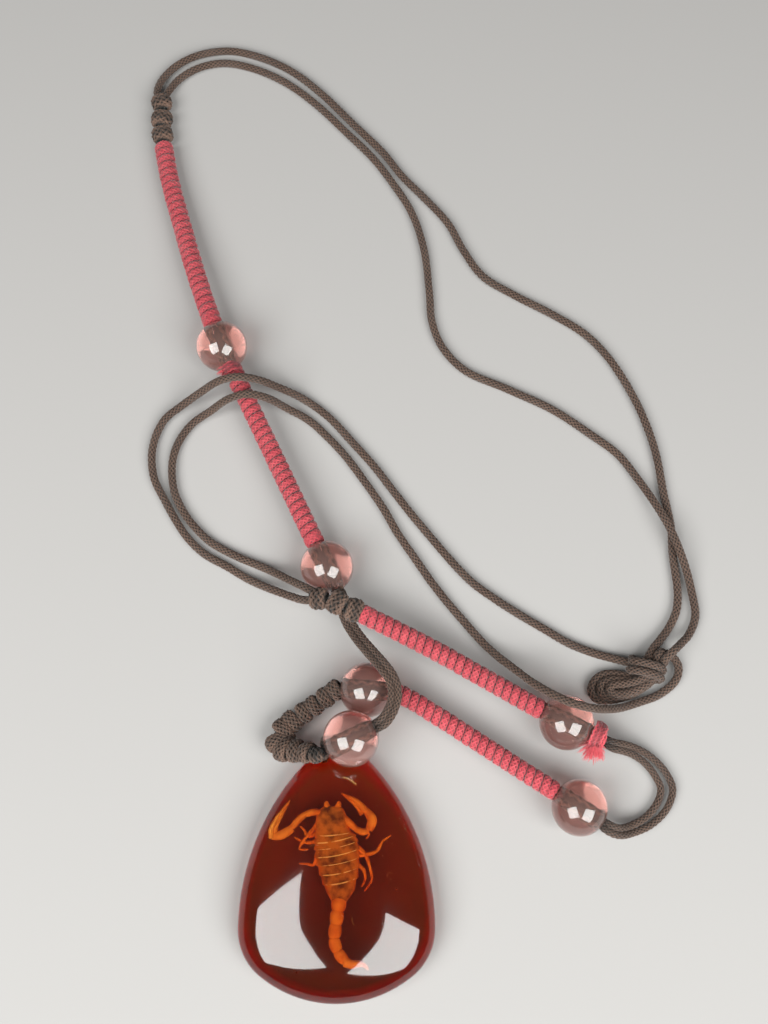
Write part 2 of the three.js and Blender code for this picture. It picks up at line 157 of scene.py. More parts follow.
def colour(red, green, blue):
    # screen colour, 0 to 255, as a shader colour
    def linear(value):
        value /= 255
        return value / 12.92 if value <= 0.04045 else ((value + 0.055) / 1.055) ** 2.4
    return linear(red), linear(green), linear(blue), 1.0


# Both cords have painted shade in their grooves, dark deep in the braid and lighter on its outside, with two
# tones mixed at random on their crests
darkCordLook = {"name": "darkBraidedCord", "paintedGrooveShade": colour(14, 10, 8), "crest": colour(114, 87, 73),
                "fade": colour(85, 62, 52), "patches": 260, "fibres": 9000, "contrast": 1.5, "shade": 0.55,
                "streaks": 0.9, "roughness": 0.62, "uneven": 0.25, "sheen": 0.15, "specular": 0.35}
redCordLook = {"name": "redWoundCord", "paintedGrooveShade": colour(76, 6, 18), "crest": colour(219, 86, 94),
               "fade": colour(186, 44, 61), "patches": 420, "fibres": 8000, "contrast": 1.2, "shade": 0.6,
               "streaks": 0.8, "roughness": 0.5, "uneven": 0.3, "sheen": 0.3, "specular": 0.4}
cordRelief = {"strength": 0.5, "distance": 0.06 * mm}


def cordMaterial(look):
    paint = Paint(look["name"])
    crest = paint.attribute("crest")
    patches = paint.noise(look["patches"], detail=3)
    fibres = paint.noise(look["fibres"])
    top = paint.mix(patches, look["crest"], look["fade"])
    # painted shade: the colour runs from the crest colours on the outside of the braid to the dark groove
    # colour deep in it
    lit = crest ** look["contrast"] * (look["shade"] + look["streaks"] * fibres)
    return paint.finish(
        Base_Color=paint.mix(lit, look["paintedGrooveShade"], top),
        Roughness=look["roughness"] + look["uneven"] * fibres,
        Sheen_Weight=look["sheen"],
        Specular_IOR_Level=look["specular"],
        Normal=paint.bump(fibres, **cordRelief),
    )


# The back of the drop is tinted dark, darker towards the foot, as painted shade for the shadowed floor seen
# through it; a crimson ring near its outline is painted light; its front is clear and glossy
amberLook = {"depth": (0.85, 0.46, 0.02, 1.0), "density": 300.0, "ior": 1.54,
             "foot": (0.3, 0.11, 0.06, 1.0), "tip": (0.6, 0.16, 0.05, 1.0), "footToTip": (-14 * mm, 12 * mm),
             "rim": (0.95, 0.03, 0.05, 1.0), "rimFrom": (0.8, 0.86),
             "front": (1.0, 0.98, 0.95, 1.0), "frontFrom": (3 * mm, 5 * mm),
             "dull": 0.5, "polished": 0.02, "polishedFrom": (0.05 * mm, 0.4 * mm),
             "gloss": 0.45, "glossFrom": (4.5 * mm, 6.5 * mm), "glossRoughness": 0.1}


def amberMaterial(look):
    paint = Paint("clearAmber")
    split = {"Vector": paint.place()}
    height = paint.node("ShaderNodeSeparateXYZ", None, split, out="Z")
    upward = paint.node("ShaderNodeSeparateXYZ", None, split, out="Y")
    # painted shade: the back's tint darkens the floor seen through the drop, more towards the foot
    back = paint.mix(paint.ramp(upward, *look["footToTip"]), look["foot"], look["tip"])
    # painted light: a bright crimson ring near the outline of the back, for light that comes through the drop's
    # wall
    rim = paint.ramp(paint.attribute("rim"), *look["rimFrom"])
    edged = paint.mix(rim, back, look["rim"])
    smooth = paint.ramp(height, *look["polishedFrom"])
    return paint.finish(
        volume=paint.soak(look),
        Base_Color=paint.mix(paint.ramp(height, *look["frontFrom"]), edged, look["front"]),
        Roughness=look["dull"] - (look["dull"] - look["polished"]) * smooth,
        IOR=look["ior"],
        Transmission_Weight=1.0,
        Coat_Weight=look["gloss"] * paint.ramp(height, *look["glossFrom"]),
        Coat_Roughness=look["glossRoughness"],
    )


beadLook = {"depth": (0.97, 0.42, 0.36, 1.0), "density": 36.0, "ior": 1.49, "tint": (0.93, 0.6, 0.54, 1.0),
            "clear": 0.94, "roughness": 0.12, "gloss": 0.8, "glossRoughness": 0.04}


def beadMaterial(look):
    paint = Paint("smokyRoseBead")
    return paint.finish(
        volume=paint.soak(look),
        Base_Color=look["tint"],
        Roughness=look["roughness"],
        IOR=look["ior"],
        Transmission_Weight=look["clear"],
        Coat_Weight=look["gloss"],
        Coat_Roughness=look["glossRoughness"],
    )


shellLook = {"back": colour(206, 126, 46), "dark": colour(104, 56, 20), "mottle": 520,
             "mottleFrom": (0.4, 0.66), "limb": colour(248, 152, 52), "deep": colour(222, 112, 30),
             "blotch": 340, "blotchFrom": (0.42, 0.66), "line": colour(255, 222, 132), "wear": 640,
             "wornFrom": (0.36, 0.5), "grain": 5200, "roughness": 0.6, "uneven": 0.3, "specular": 0.15}
shellRelief = {"strength": 0.35, "distance": 0.08 * mm}


def shellMaterial(look):
    paint = Paint("driedShell")
    mottle = paint.ramp(paint.noise(look["mottle"], detail=4), *look["mottleFrom"])
    blotch = paint.ramp(paint.noise(look["blotch"], detail=3), *look["blotchFrom"])
    kept = paint.ramp(paint.noise(look["wear"]), *look["wornFrom"])
    grain = paint.noise(look["grain"])
    back = paint.mix(mottle, look["back"], look["dark"])
    limb = paint.mix(blotch, look["limb"], look["deep"])
    body = paint.mix(paint.attribute("limb"), back, limb)
    return paint.finish(
        Base_Color=paint.mix(paint.attribute("edge") * kept, body, look["line"]),
        Roughness=look["roughness"] + look["uneven"] * grain,
        Specular_IOR_Level=look["specular"],
        Normal=paint.bump(grain, **shellRelief),
    )


fleckLook = {"pale": colour(250, 226, 180), "tan": colour(214, 160, 96), "grain": 4000, "roughness": 0.5,
             "uneven": 0.3}


def fleckMaterial(look):
    paint = Paint("paleFleck")
    grain = paint.noise(look["grain"])
    return paint.finish(
        Base_Color=paint.mix(grain, look["pale"], look["tan"]),
        Roughness=look["roughness"] + look["uneven"] * grain,
    )


# Lines through points
def lengthsAlong(line):
    return np.concatenate([[0.0], np.cumsum(np.linalg.norm(np.diff(line, axis=0), axis=1))])


def sampled(rows, along, at):
    # rows known at some lengths along a line, read at others
    return np.column_stack([np.interp(at, along, column) for column in rows.T])


def stretchOf(line, start, end, step):
    at = np.linspace(start, end, max(3, round((end - start) / step) + 1))
    return sampled(line, lengthsAlong(line), at)


def evenly(line, step):
    return stretchOf(line, 0, lengthsAlong(line)[-1], step)


def smoothLine(points, step):
    # an even-stepped centripetal spline through points in millimetres
    knots = [Vector(p) * mm for p in points]
    knots = [2 * knots[0] - knots[1], *knots, 2 * knots[-1] - knots[-2]]
    pieces = 16
    line = []
    for a, b, c, d in zip(knots, knots[1:], knots[2:], knots[3:]):
        t1 = (b - a).length ** 0.5
        t2 = t1 + (c - b).length ** 0.5
        t3 = t2 + (d - c).length ** 0.5
        for i in range(pieces):
            t = t1 + (t2 - t1) * i / pieces
            ab = a.lerp(b, t / t1)
            bc = b.lerp(c, (t - t1) / (t2 - t1))
            cd = c.lerp(d, (t - t2) / (t3 - t2))
            abc = ab.lerp(bc, t / t2)
            bcd = bc.lerp(cd, (t - t1) / (t3 - t1))
            line.append(abc.lerp(bcd, (t - t1) / (t2 - t1)))
    line.append(knots[-2])
    return evenly(np.array(line), step)


def unit(vectors):
    return vectors / np.linalg.norm(vectors, axis=1)[:, None]


def tangentsOf(line):
    return unit(np.gradient(line, axis=0))


def upsOf(line):
    # an upward direction at each point that turns no more than the line does
    tangents = tangentsOf(line)
    up = np.array((0.0, 0.0, 1.0)) if abs(tangents[0][2]) < 0.9 else np.array((1.0, 0.0, 0.0))
    ups = []
    for tangent in tangents:
        up = up - tangent * up.dot(tangent)
        up = up / np.linalg.norm(up)
        ups.append(up)
    return np.array(ups)


def placeOn(line, point):
    # how far along the line the point lies
    nearest = np.argmin(np.linalg.norm(line - np.array(point), axis=1))
    return lengthsAlong(line)[nearest]


def coilRound(run, coil):
    # a line that winds round a run, with a level part turn at each end, and its outward direction
    along = lengthsAlong(run)
    turns = along[-1] / coil["pitch"]
    count = int((turns + 2 * coil["level"]) * coil["perTurn"])
    turn = np.linspace(-coil["level"], turns + coil["level"], count)
    at = np.clip(turn, 0, turns) * coil["pitch"]
    ups = upsOf(run)
    sides = np.cross(tangentsOf(run), ups)
    run, ups, sides = (sampled(rows, along, at) for rows in (run, ups, sides))
    angle = 2 * math.pi * turn[:, None]
    outward = unit(sides * np.sin(angle) + ups * np.cos(angle))
    return run + outward * coil["radius"], outward


# Braided cord: yarns that wind both ways round a line, over and under in turn, on a plain filling
darkBraid = {"yarns": 12, "pitch": 6 * mm, "wide": 0.56 * mm, "high": 0.56 * mm, "lift": 0.07 * mm,
             "yarn": 0.21 * mm, "filling": 0.52 * mm, "sides": 4, "step": 0.3 * mm,
             "crest": (0.54 * mm, 0.83 * mm)}
knotBraid = {"yarns": 18, "pitch": 8.5 * mm, "wide": 1.06 * mm, "high": 0.48 * mm, "lift": 0.09 * mm,
             "yarn": 0.22 * mm, "filling": 0.56 * mm, "sides": 4, "crest": (1.02 * mm, 1.59 * mm)}
redBraid = {"yarns": 8, "pitch": 3.6 * mm, "wide": 0.6 * mm, "high": 0.16 * mm, "lift": 0.05 * mm,
            "yarn": 0.26 * mm, "filling": 0.36 * mm, "sides": 4, "crest": (1.36 * mm, 1.84 * mm)}


def yarnTubes(line, ups, braid, size=1.0):
    # the yarns and the filling of one strand, as (line, radius) pairs
    sides = np.cross(tangentsOf(line), ups)
    along = lengthsAlong(line)
    perWay = braid["yarns"] // 2
    tubes = [(line, braid["filling"] * size)]
    for way in (1, -1):
        wave = way * braid["lift"] * np.cos(math.pi * braid["yarns"] * along / braid["pitch"])
        for k in range(perWay):
            angle = 2 * math.pi * (way * along / braid["pitch"] + k / perWay)
            across = (braid["wide"] + wave) * np.sin(angle) * size
            upward = (braid["high"] + wave) * np.cos(angle) * size
            tubes.append((line + sides * across[:, None] + ups * upward[:, None], braid["yarn"] * size))
    return tubes


def newPiece(name, mesh, material, slot, *nodes):
    piece = bpy.data.objects.new(name, mesh)
    scene.collection.objects.link(piece)
    mesh.materials.clear()
    mesh.materials.append(material)
    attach(piece, "root")
    if nodes:
        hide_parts(*nodes)
    return piece


def shapeMesh(shape, name):
    for face in shape.faces:
        face.smooth = True
    mesh = bpy.data.meshes.new(name)
    shape.to_mesh(mesh)
    shape.free()
    return mesh


def tubesMesh(name, tubes, sides):
    # round tubes along (line, radius) pairs as one mesh
    curve = bpy.data.curves.new(name, "CURVE")
    curve.dimensions = "3D"
    curve.bevel_depth = mm
    curve.bevel_resolution = (sides - 4) // 2
    curve.use_fill_caps = True
    for line, radius in tubes:
        spline = curve.splines.new("POLY")
        spline.points.add(len(line) - 1)
        spline.points.foreach_set("co", np.column_stack([line, np.ones(len(line))]).ravel())
        spline.points.foreach_set("radius", np.broadcast_to(np.asarray(radius) / mm, len(line)))
    maker = bpy.data.objects.new(name + "Maker", curve)
    scene.collection.objects.link(maker)
    graph = bpy.context.evaluated_depsgraph_get()
    mesh = bpy.data.meshes.new_from_object(maker.evaluated_get(graph))
    bpy.data.objects.remove(maker)
    mesh.name = name
    return mesh


def markCrest(mesh, line, band):
    # 0 deep in the braid and 1 on its outside, by the distance from the line; it sets how much painted shade
    # the cord colours get
    tree = KDTree(len(line))
    for i, point in enumerate(line):
        tree.insert(point, i)
    tree.balance()
    low, high = band
    crest = [min(1.0, max(0.0, (tree.find(v.co)[2] - low) / (high - low))) for v in mesh.vertices]
    mesh.attributes.new("crest", "FLOAT", "POINT").data.foreach_set("value", crest)


def braidedMesh(name, tubes, braid, axis, size=1.0):
    # the axis is what the crest, and with it the painted shade, is measured from
    mesh = tubesMesh(name, tubes, braid["sides"])
    markCrest(mesh, axis, [edge * size for edge in braid["crest"]])
    return mesh


# Free strands of the dark cord, by the same points as the solids. A point without a height lies on the surface.
lying = 0.9
topStrand = [
    (-39.9, 158.6, 1.4), (-39, 162), (-36, 165.5), (-31.5, 168), (-25, 169), (-18.5, 167.5), (-11.5, 164),
    (-5, 158.5), (1.5, 151.5), (8, 144.5), (12, 139), (16.5, 134), (21.5, 128), (24.5, 122), (28.5, 116),
    (34.5, 112), (42.5, 107.5), (48.5, 103.5), (53, 98.5), (56.5, 92.5), (59.5, 85.5), (61.5, 78),
    (62.5, 70), (63.5, 63.5), (63.5, 58), (64, 50.5), (63.5, 47), (62, 44, 1), (60, 41.4, 1.4),
    (58.4, 39.6, 2),
]
inwardStrand = [
    (-37.5, 158.8, 1.4), (-35.5, 162), (-31.5, 164.8), (-26, 166), (-19.5, 164.6), (-13, 161.4),
    (-6.6, 156.4), (0, 149.6), (6.4, 142.6), (10, 137.4), (14, 130.5), (16.5, 122), (17.5, 112.5),
    (18, 106), (20, 100.5), (24.5, 95.5), (33, 91.5), (42, 87), (49, 82), (54, 78, 0.95), (57.5, 73, 1.2),
    (60.5, 67.5, 2.4), (62.8, 62.5, 3.1), (65, 56.5, 2.6), (66.5, 51, 1.2), (67, 46, 1), (65.5, 42.5, 1.4),
    (63.4, 40.4, 2.8), (61.8, 39, 4),
]
outerLoop = [
    (-6, 48, 6.4), (-10.5, 49.8, 3.4), (-17, 52.8, 1.2), (-21.5, 55.5), (-26, 58), (-29.2, 61),
    (-31.5, 64.2), (-34, 68.5), (-36.5, 73.5), (-37, 79.5), (-35, 85, 1), (-31.5, 87.8, 1.8),
    (-27.4, 89.8, 4.2), (-23.6, 90.8, 7.4), (-20.2, 91.1, 8.8), (-16.6, 91.2, 7.4), (-12.2, 90.8, 3.8),
    (-7.4, 89.2, 1.3), (-2.5, 85.6), (2, 80.6), (6.5, 75.4), (10.5, 70), (15.5, 63.5), (24.5, 53),
    (29, 49.5), (34, 46.2), (38.5, 43.5), (43, 40.8), (47.5, 39), (51, 38, 1), (53.4, 37.3, 1.5),
]
innerLoop = [
    (-6.1, 50.2, 7), (-9.6, 52.4, 4), (-14, 55, 1.3), (-20, 57.6), (-25, 60.4), (-28, 63.2), (-30.3, 66.2),
    (-32.4, 70.6), (-33, 76.5), (-32, 80.5), (-29.5, 84.2, 1), (-25.8, 86.4, 2.4), (-21.6, 87.4, 6.8),
    (-18, 87.8, 8.3), (-14.4, 87.6, 6.8), (-10.6, 86.8, 2.8), (-6.5, 85, 1), (-3, 81.8), (0.8, 77.6),
    (5, 71.8), (8.2, 67), (11, 62), (15, 56), (17, 53), (20, 49), (23.5, 44.8), (27, 40.7, 1.3),
    (29.6, 38, 2.6), (32.2, 35.6, 4.4), (34.8, 33.1, 6.7), (37.3, 31.1, 8.8), (40, 29.5, 10),
    (42.8, 28.4, 10.4), (45.4, 28, 9.1), (48.4, 28.1, 6.1), (51.9, 28.7, 3), (55.4, 29.8, 1.3),
    (59.5, 31.4), (62.6, 34), (63.2, 36.2, 1.1), (62.4, 37.9, 1.5),
]
lowerPair = [
    (48.2, 7.3, 4.9), (50.2, 6.7, 3.8), (53, 7.2, 1.8), (56.2, 8.7, 1), (58.7, 11.3), (59.7, 14.2),
    (58.7, 16.8, 1), (56.6, 19.2, 1.5), (53.8, 20.8, 2.7), (51.4, 21.4, 4.2), (49.8, 21.7, 4.9),
]
upperPair = [
    (8.2, 25.5, 11), (9.4, 27.2, 10.9), (10.1, 29.1, 10.7), (10.2, 31.2, 10.6), (9.6, 33.2, 10.5),
    (8, 35.5, 9.9), (5.9, 38.1, 8.3), (3.7, 41, 6.1), (1.9, 43.9, 4.6), (0.8, 46.6, 4.4), (0.2, 49.1, 5.1),
]


# Where the strands go on into a knot or a bead, before their first point and after their last
tucks = {
    "strand_top_outer": [(-39.3, 156.6, 1.8), (56.6, 37, 3.2)],
    "strand_top_inner": [(-38.6, 156.7, 1.8), (59.6, 36.8, 3.6)],
    "strand_loop_outer": [(-4.2, 48.2, 7.4), (56.4, 36.4, 2.4)],
    "strand_loop_inner": [(-4, 49, 7.7), (60.7, 38.8, 2.4)],
    "lower": [(46.4, 8.6, 5), (48.2, 22.4, 5)],
    "upper": [(5.9, 24.2, 10.4), (-0.9, 51.4, 5)],
}
# Pairs of strands, drawn close and thin at their ends, and what the lower pair spreads by in its middle
strandPair = {"apart": 0.61, "tight": 0.55, "spread": 0.46, "gathered": 6, "tapered": 3 * mm,
              "thin": 0.72, "slim": 0.87}


def tucked(points, name):
    first, last = tucks[name]
    return [first, *(point if len(point) == 3 else (*point, lying) for point in points), last]


def besideRoute(points, name, way):
    # a strand of a pair, level with its middle line
    line = np.array(tucked(points, name), float)
    sides = unit(np.cross(tangentsOf(line), (0.0, 0.0, 1.0)))
    offset = np.full(len(line), strandPair["apart"])
    if name == "lower":
        bulge = np.sin(np.linspace(0, math.pi, len(line))) ** strandPair["gathered"]
        offset += strandPair["spread"] * bulge
    offset[[0, -1]] = strandPair["tight"]
    return line + sides * (way * offset)[:, None]


strandRoutes = {
    "strand_top_outer": tucked(topStrand, "strand_top_outer"),
    "strand_top_inner": tucked(inwardStrand, "strand_top_inner"),
    "strand_loop_outer": tucked(outerLoop, "strand_loop_outer"),
    "strand_loop_inner": tucked(innerLoop, "strand_loop_inner"),
    "strand_lower_outer": besideRoute(lowerPair, "lower", 1),
    "strand_lower_inner": besideRoute(lowerPair, "lower", -1),
    "strand_upper_right": besideRoute(upperPair, "upper", 1),
    "strand_upper_left": besideRoute(upperPair, "upper", -1),
}


def camel(node):
    first, *rest = node.split("_")
    return first + "".join(word.title() for word in rest)


def makeStrands(material):
    for node, points in strandRoutes.items():
        line = smoothLine(points, darkBraid["step"])
        along = lengthsAlong(line)
        toEnd = np.minimum(along, along[-1] - along)
        paired = "lower" in node or "upper" in node
        thin, full = (strandPair["thin"], strandPair["slim"]) if paired else (1.0, 1.0)
        size = thin + (full - thin) * np.minimum(1, toEnd / strandPair["tapered"])
        tubes = yarnTubes(line, upsOf(line), darkBraid, size)
        mesh = braidedMesh(camel(node), tubes, darkBraid, line, full)
        piece = newPiece(camel(node), mesh, material, "dark_cord", node)


# Tight runs, where both strands go through the beads and under the wraps
runPoints = {
    "top": [
        (-37.8, 145.4, 2.3), (-36, 137, 2.6), (-32.6, 125.2, 3.2), (-28.4, 111.8, 4.3), (-23.6, 98.9, 5),
        (-18.5, 88.2, 4.6), (-12.8, 76.4, 4.2), (-7, 64.2, 4.6), (-2.4, 54.6, 5), (-0.2, 50, 5),
    ],
    "lower": [
        (0.7, 32.15, 5), (5.2, 31.7, 5), (8, 31.42, 5), (10.6, 31.1, 5), (13.6, 29.7, 4.8),
        (17.4, 27.4, 4.5), (25, 22.6, 4.1), (33, 17.4, 4.6), (38.9, 13.6, 5), (43.1, 10.8, 5),
        (46.8, 8.33, 5),
    ],
    "middle": [
        (47.8, 22.55, 5), (41.2, 25.9, 5), (36.6, 28.2, 5), (27, 33.6, 5.2), (16, 39.6, 6.2),
        (4.9, 44.95, 7.8), (4, 45.4, 7.95),
    ],
    "cross": [(-1.5, 20.7, 8.6), (2.6, 22.65, 9.6), (6.7, 24.6, 10.6)],
}
runStep = 0.3 * mm
runs = {name: smoothLine(points, runStep) for name, points in runPoints.items()}
tightPair = {"yarns": 8, "pitch": 6 * mm, "wide": 0.36 * mm, "high": 0.82 * mm, "lift": 0.06 * mm,
             "yarn": 0.26 * mm, "filling": 0.42 * mm, "sides": 8, "step": 0.5 * mm,
             "crest": (0.95 * mm, 1.25 * mm), "spacing": 0.6 * mm, "middle": 1.1 * mm}


def makeTightRuns(material):
    for name, run in runs.items():
        line = evenly(run, tightPair["step"])
        ups = upsOf(line)
        sides = np.cross(tangentsOf(line), ups) * tightPair["spacing"]
        tubes = [(line, tightPair["middle"])]
        tubes += yarnTubes(line + sides, ups, tightPair) + yarnTubes(line - sides, ups, tightPair)
        mesh = braidedMesh("tightPair" + name.title(), tubes, tightPair, line)
        newPiece(mesh.name, mesh, material, "dark_cord", "core_" + name)


# Beads, turned round the bore
bead = {"radius": 5 * mm, "bore": 1 * mm, "lip": 0.25 * mm, "arc": 28, "turns": 56, "weld": 1e-7}
beadRuns = {
    "bead_bail_upper": "lower", "bead_bail_lower": "cross", "bead_loop_lower": "lower",
    "bead_loop_upper": "middle", "bead_side_lower": "top", "bead_side_upper": "top",
}


def beadPlace(node):
    low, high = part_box(node)
    run = runs[beadRuns[node]]
    nearest = np.argmin(np.linalg.norm(run - np.array((low + high) / 2), axis=1))
    return Vector(run[nearest]), Vector(tangentsOf(run)[nearest])


def makeBeads(material):
    radius, bore, lip = bead["radius"], bead["bore"], bead["lip"]
    mouthAngle = math.acos((bore + lip) / radius)
    for node in beadRuns:
        shape = bmesh.new()
        angles = np.linspace(-mouthAngle, mouthAngle, bead["arc"])
        profile = [(radius * math.cos(a), radius * math.sin(a)) for a in angles]
        shoulder = radius * math.sin(mouthAngle) - lip
        profile += [(bore, shoulder), (bore, 0), (bore, -shoulder)]
        ring = [shape.verts.new((across, 0, along)) for across, along in profile]
        edges = [shape.edges.new(pair) for pair in zip(ring, ring[1:] + ring[:1])]
        bmesh.ops.spin(shape, geom=ring + edges, cent=(0, 0, 0), axis=(0, 0, 1), dvec=(0, 0, 0),
                       angle=2 * math.pi, steps=bead["turns"], use_merge=True, use_duplicate=False)
        bmesh.ops.remove_doubles(shape, verts=shape.verts, dist=bead["weld"])
        bmesh.ops.recalc_face_normals(shape, faces=shape.faces)
        centre, along = beadPlace(node)
        turn = Vector((0, 0, 1)).rotation_difference(along).to_matrix().to_4x4()
        bmesh.ops.transform(shape, matrix=Matrix.Translation(centre) @ turn, verts=shape.verts)
        newPiece(camel(node), shapeMesh(shape, camel(node)), material, "bead", node)


# Red cord wound tightly round the runs
wrap = {"pitch": 1.64 * mm, "radius": 1.36 * mm, "perTurn": 26, "mouth": 4.75 * mm, "knot": 2.8 * mm,
        "edge": 0.85 * mm, "level": 0.75,
        "sizes": {"wrap_lower": 1.02, "wrap_middle": 1.08, "wrap_side": 1.1, "wrap_top": 1.15}}


def beadAlong(node):
    return placeOn(runs[beadRuns[node]], beadPlace(node)[0])


def makeWraps(material):
    mouth = wrap["mouth"]
    ends = {
        "wrap_lower": ("lower", beadAlong("bead_bail_upper") + mouth, beadAlong("bead_loop_lower") - mouth),
        "wrap_middle": ("middle", beadAlong("bead_loop_upper") + mouth, lengthsAlong(runs["middle"])[-1]),
        "wrap_side": ("top", beadAlong("bead_side_upper") + mouth + wrap["knot"],
                      beadAlong("bead_side_lower") - mouth),
        "wrap_top": ("top", 0.0, beadAlong("bead_side_upper") - mouth),
    }
    for node, (run, start, end) in ends.items():
        axis = stretchOf(runs[run], start + wrap["edge"], end - wrap["edge"], runStep)
        size = wrap["sizes"][node]
        line, outward = coilRound(axis, {**wrap, "radius": wrap["radius"] * size})
        mesh = braidedMesh(camel(node), yarnTubes(line, outward, redBraid), redBraid, axis, size)
        newPiece(camel(node), mesh, material, "red_cord", node)


# Red tail knots: a turn and a half round the run, and the cord folded across it with frayed ends
redTail = {"radius": 1.6 * mm, "pitch": 1.5 * mm, "perTurn": 26, "level": 0.5, "step": 0.2 * mm,
           "apart": 0.55, "rise": 0.35, "foot": 0.6, "crest": (0.2 * mm, 0.66 * mm)}
fraying = {"radius": 0.04 * mm, "spread": 0.8, "lean": 0.8, "shortest": 0.4, "droop": 0.4 * mm, "sides": 4}
redTails = {
    "red_knot_loop": {
        "run": "middle", "nextTo": "bead_loop_upper", "way": -1, "size": 0.86, "fibres": 460, "fray": 3 * mm,
        "tail": [(47.7, 25.2, 6), (47.3, 24.7, 7.1), (46.6, 23.6, 7.7), (46.1, 22.4, 6.9), (46, 21.4, 5.4)],
    },
    "red_knot_side": {
        "run": "top", "nextTo": "bead_side_upper", "way": 1, "size": 0.75, "fibres": 90, "fray": 1.3 * mm,
        "tail": [(-20.4, 94.7, 6.2), (-21.2, 94.2, 7.2), (-22.2, 93.6, 7), (-22.8, 93.3, 6.2)],
    },
}


def frayedEnd(knot, foot, outOf):
    # loose fibres at the foot of a tail, as (line, radius) pairs
    fibres = []
    for _ in range(knot["fibres"]):
        lean = Vector([chance.uniform(-1, 1) for _ in range(3)]) * fraying["spread"]
        root = foot + lean * mm
        reach = (outOf + lean * fraying["lean"]).normalized()
        reach = reach * knot["fray"] * chance.uniform(fraying["shortest"], 1)
        droop = Vector((0, 0, -fraying["droop"] * chance.random()))
        fibres.append((np.array([root, root + reach / 2, root + reach + droop]), fraying["radius"]))
    return fibres


def makeRedTails(material):
    for node, knot in redTails.items():
        near = beadAlong(knot["nextTo"]) + knot["way"] * wrap["mouth"]
        far = near + knot["way"] * wrap["knot"]
        start, end = min(near, far) + wrap["edge"], max(near, far) - wrap["edge"]
        line, outward = coilRound(stretchOf(runs[knot["run"]], start, end, redTail["step"]), redTail)
        middle = np.array(knot["tail"], float)
        aside = np.cross(tangentsOf(middle), upsOf(middle)) * redTail["apart"] * knot["size"]
        top = middle[0] + (middle[0] - middle[1]) * redTail["rise"]
        fold = smoothLine([*(middle + aside)[::-1], top, *(middle - aside)], redTail["step"])
        tubes = yarnTubes(line, outward, redBraid) + yarnTubes(fold, upsOf(fold), redBraid, knot["size"])
        foot = Vector(middle[-1] * redTail["foot"] + middle[-2] * (1 - redTail["foot"])) * mm
        tubes += frayedEnd(knot, foot, Vector(middle[-1] - middle[-2]).normalized())
        mesh = tubesMesh(camel(node), tubes, fraying["sides"])
        markCrest(mesh, np.concatenate([line, fold]), redTail["crest"])
        newPiece(camel(node), mesh, material, "red_cord", node)


# Snake knots and the bail: each knot is a broad turn of cord, tipped against the next
snakeKnots = {
    "snake_knot_top": {
        "route": [(-38.1, 146.1, 2.1), (-38.5, 151.6, 2), (-39, 157.4, 1.9)],
        "count": 3, "size": [0.95, 0.97, 0.9], "broad": 1.36, "inset": 0.38 * mm, "margin": 0.165,
    },
    "snake_knot_cross": {
        "route": [(-5.1, 48.6, 7.6), (-0.3, 47.2, 8.8), (4.3, 45.3, 7.9)],
        "count": 3, "size": [0.88, 0.98, 0.96], "broad": 1.3, "inset": 0.43 * mm, "margin": 0.165,
    },
    "bail": {
        "route": [(0.2, 32, 4.9), (-3, 29.9, 3.7), (-5.5, 28.2, 2.8), (-8.2, 26.6, 2.4),
                  (-10.4, 24.6, 2.4), (-11.3, 22.6, 2.7), (-10.3, 21, 3.6), (-8, 20.6, 4.8),
                  (-5.6, 20.4, 6.4), (-4, 20.2, 7.5), (-2.8, 20.25, 8.1)],
        "count": 11, "size": [0.9, 0.9, 0.9, 0.92, 1.05, 1.25, 1.45, 1.4, 1.2, 1.0, 0.62], "broad": 1.04,
        "inset": 0.68 * mm, "margin": 0.03,
    },
}
knotTurn = {"wide": 1.4 * mm, "high": 0.95 * mm, "tip": 14.0, "sway": 5, "points": 48, "step": 0.2 * mm,
            "filling": 0.88 * mm, "thin": 0.45, "tapered": 3 * mm}


def ringRound(centre, along, up, tip, size):
    # one turn of cord round a run, tipped sideways, and its outward direction
    side = np.cross(along, up)
    turned = math.radians(tip)
    across = side * math.cos(turned) + along * math.sin(turned)
    angle = np.linspace(-math.pi, math.pi, knotTurn["points"])[:, None]
    wide, high = knotTurn["wide"] * size, knotTurn["high"] * size
    outward = across * np.sin(angle) / wide + up * np.cos(angle) / high
    inward = side * knotTurn["wide"] * (size - 1)
    return centre - inward + across * wide * np.sin(angle) + up * high * np.cos(angle), unit(outward)


def makeSnakeKnots(material):
    for node, knot in snakeKnots.items():
        run = smoothLine(knot["route"], knotTurn["step"])
        along, ups = tangentsOf(run), upsOf(run)
        ahead = lengthsAlong(run)
        toEnd = np.minimum(ahead, ahead[-1] - ahead)
        thickness = np.minimum(1, knotTurn["thin"] + toEnd / knotTurn["tapered"])
        tubes = [(run, knotTurn["filling"] * thickness)]
        lines = [run]
        for k in range(knot["count"]):
            share = knot["margin"] + (1 - 2 * knot["margin"]) * k / (knot["count"] - 1)
            at = round(share * (len(run) - 1))
            tip = (-1) ** k * knotTurn["tip"] + chance.uniform(-knotTurn["sway"], knotTurn["sway"])
            line, outward = ringRound(run[at], along[at], ups[at], tip, knot["size"][k])
            tubes += yarnTubes(line, outward, knotBraid, knot["broad"])
            # the crest, which sets the painted shade, is measured from lines set in from each turn
            lines.append(line - outward * knot["inset"])
        mesh = braidedMesh(camel(node), tubes, knotBraid, np.concatenate(lines))
        newPiece(camel(node), mesh, material, "dark_cord", node)


# The bail's cord dips through a curved bore in the drop's narrow end
hitchRoute = [
    (-2.4, 20.4, 7.2), (-2.4, 20, 5.7), (-2.4, 19.6, 5), (-2.4, 19.2, 4.1), (-2.4, 19.5, 3.2),
    (-2.4, 20.6, 2.7), (-2.4, 21.8, 2.9), (-2.4, 22.6, 3.9), (-2.4, 22.6, 5.2), (-2.4, 21.8, 7.2),
]


